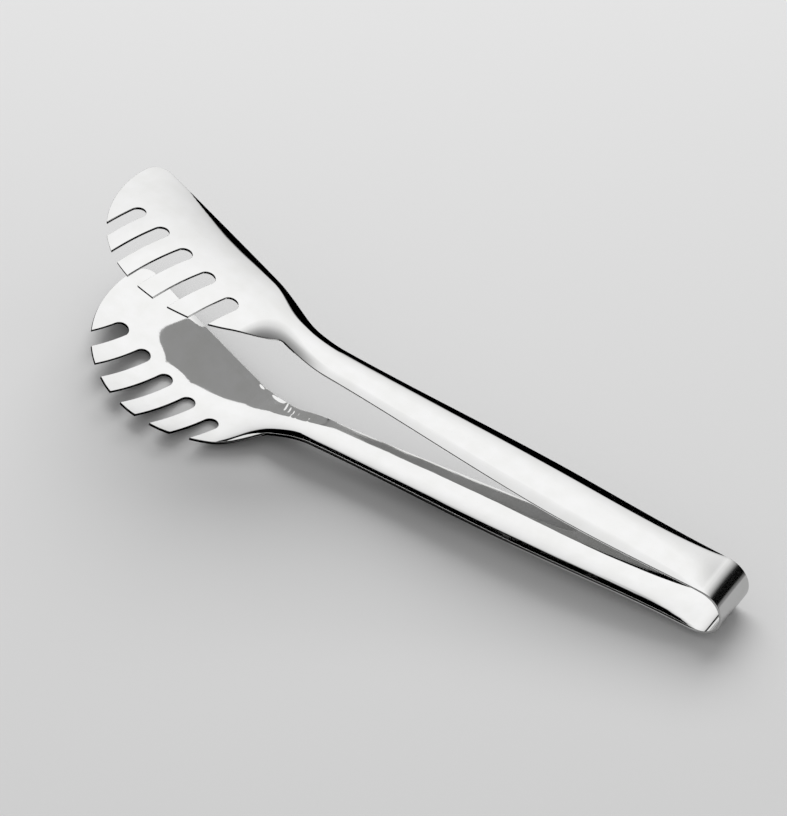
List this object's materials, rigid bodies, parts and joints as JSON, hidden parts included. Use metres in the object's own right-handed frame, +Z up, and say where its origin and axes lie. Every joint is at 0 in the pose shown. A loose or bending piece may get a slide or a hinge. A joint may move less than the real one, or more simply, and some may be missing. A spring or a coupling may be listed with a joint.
{
  "type": "ice tongs",
  "caption": "Serving tongs of pressed sheet steel: a curved spring bow joins channelled handles that end in dished heads with slotted combs, and a squeeze closes them.",
  "frame": {"origin": "centre of the bounding box in plan, at the height of the table that the tongs lie on", "axes": "+X from the spring bow to the heads, +Y towards the combs, +Z up, with the tongs lying on their lower half as they rest when put down"},
  "size_m": [0.2286, 0.0598, 0.0553],
  "materials": {
    "stainless_steel": "mirror-polished"
  },
  "bodies": {
    "lower_half": {"lower_jaw": "stainless_steel", "lower_handle": "stainless_steel", "lower_spring_leaf": "stainless_steel"},
    "bow": {"spring_bow": "stainless_steel"},
    "upper_half": {"upper_spring_leaf": "stainless_steel", "upper_handle": "stainless_steel", "upper_jaw": "stainless_steel"}
  },
  "joints": [
    {"name": "bow_flex_lower", "type": "hinge", "parent": "lower_half", "child": "bow", "pos_m": [-0.11061, 0.00722, 0.00397], "axis": [-0.0115, 0.9928, 0.1196], "range_deg": [0, 5.27], "stiffness_Nm_per_rad": 20, "springref_deg": -0.43},
    {"name": "bow_flex_upper", "type": "hinge", "parent": "bow", "child": "upper_half", "pos_m": [-0.11159, 0.00598, 0.01418], "axis": [-0.0115, 0.9928, 0.1196], "range_deg": [0, 5.27]}
  ],
  "couplings": [
    {"joint": "bow_flex_upper", "follows": "bow_flex_lower", "ratio": 1}
  ]
}
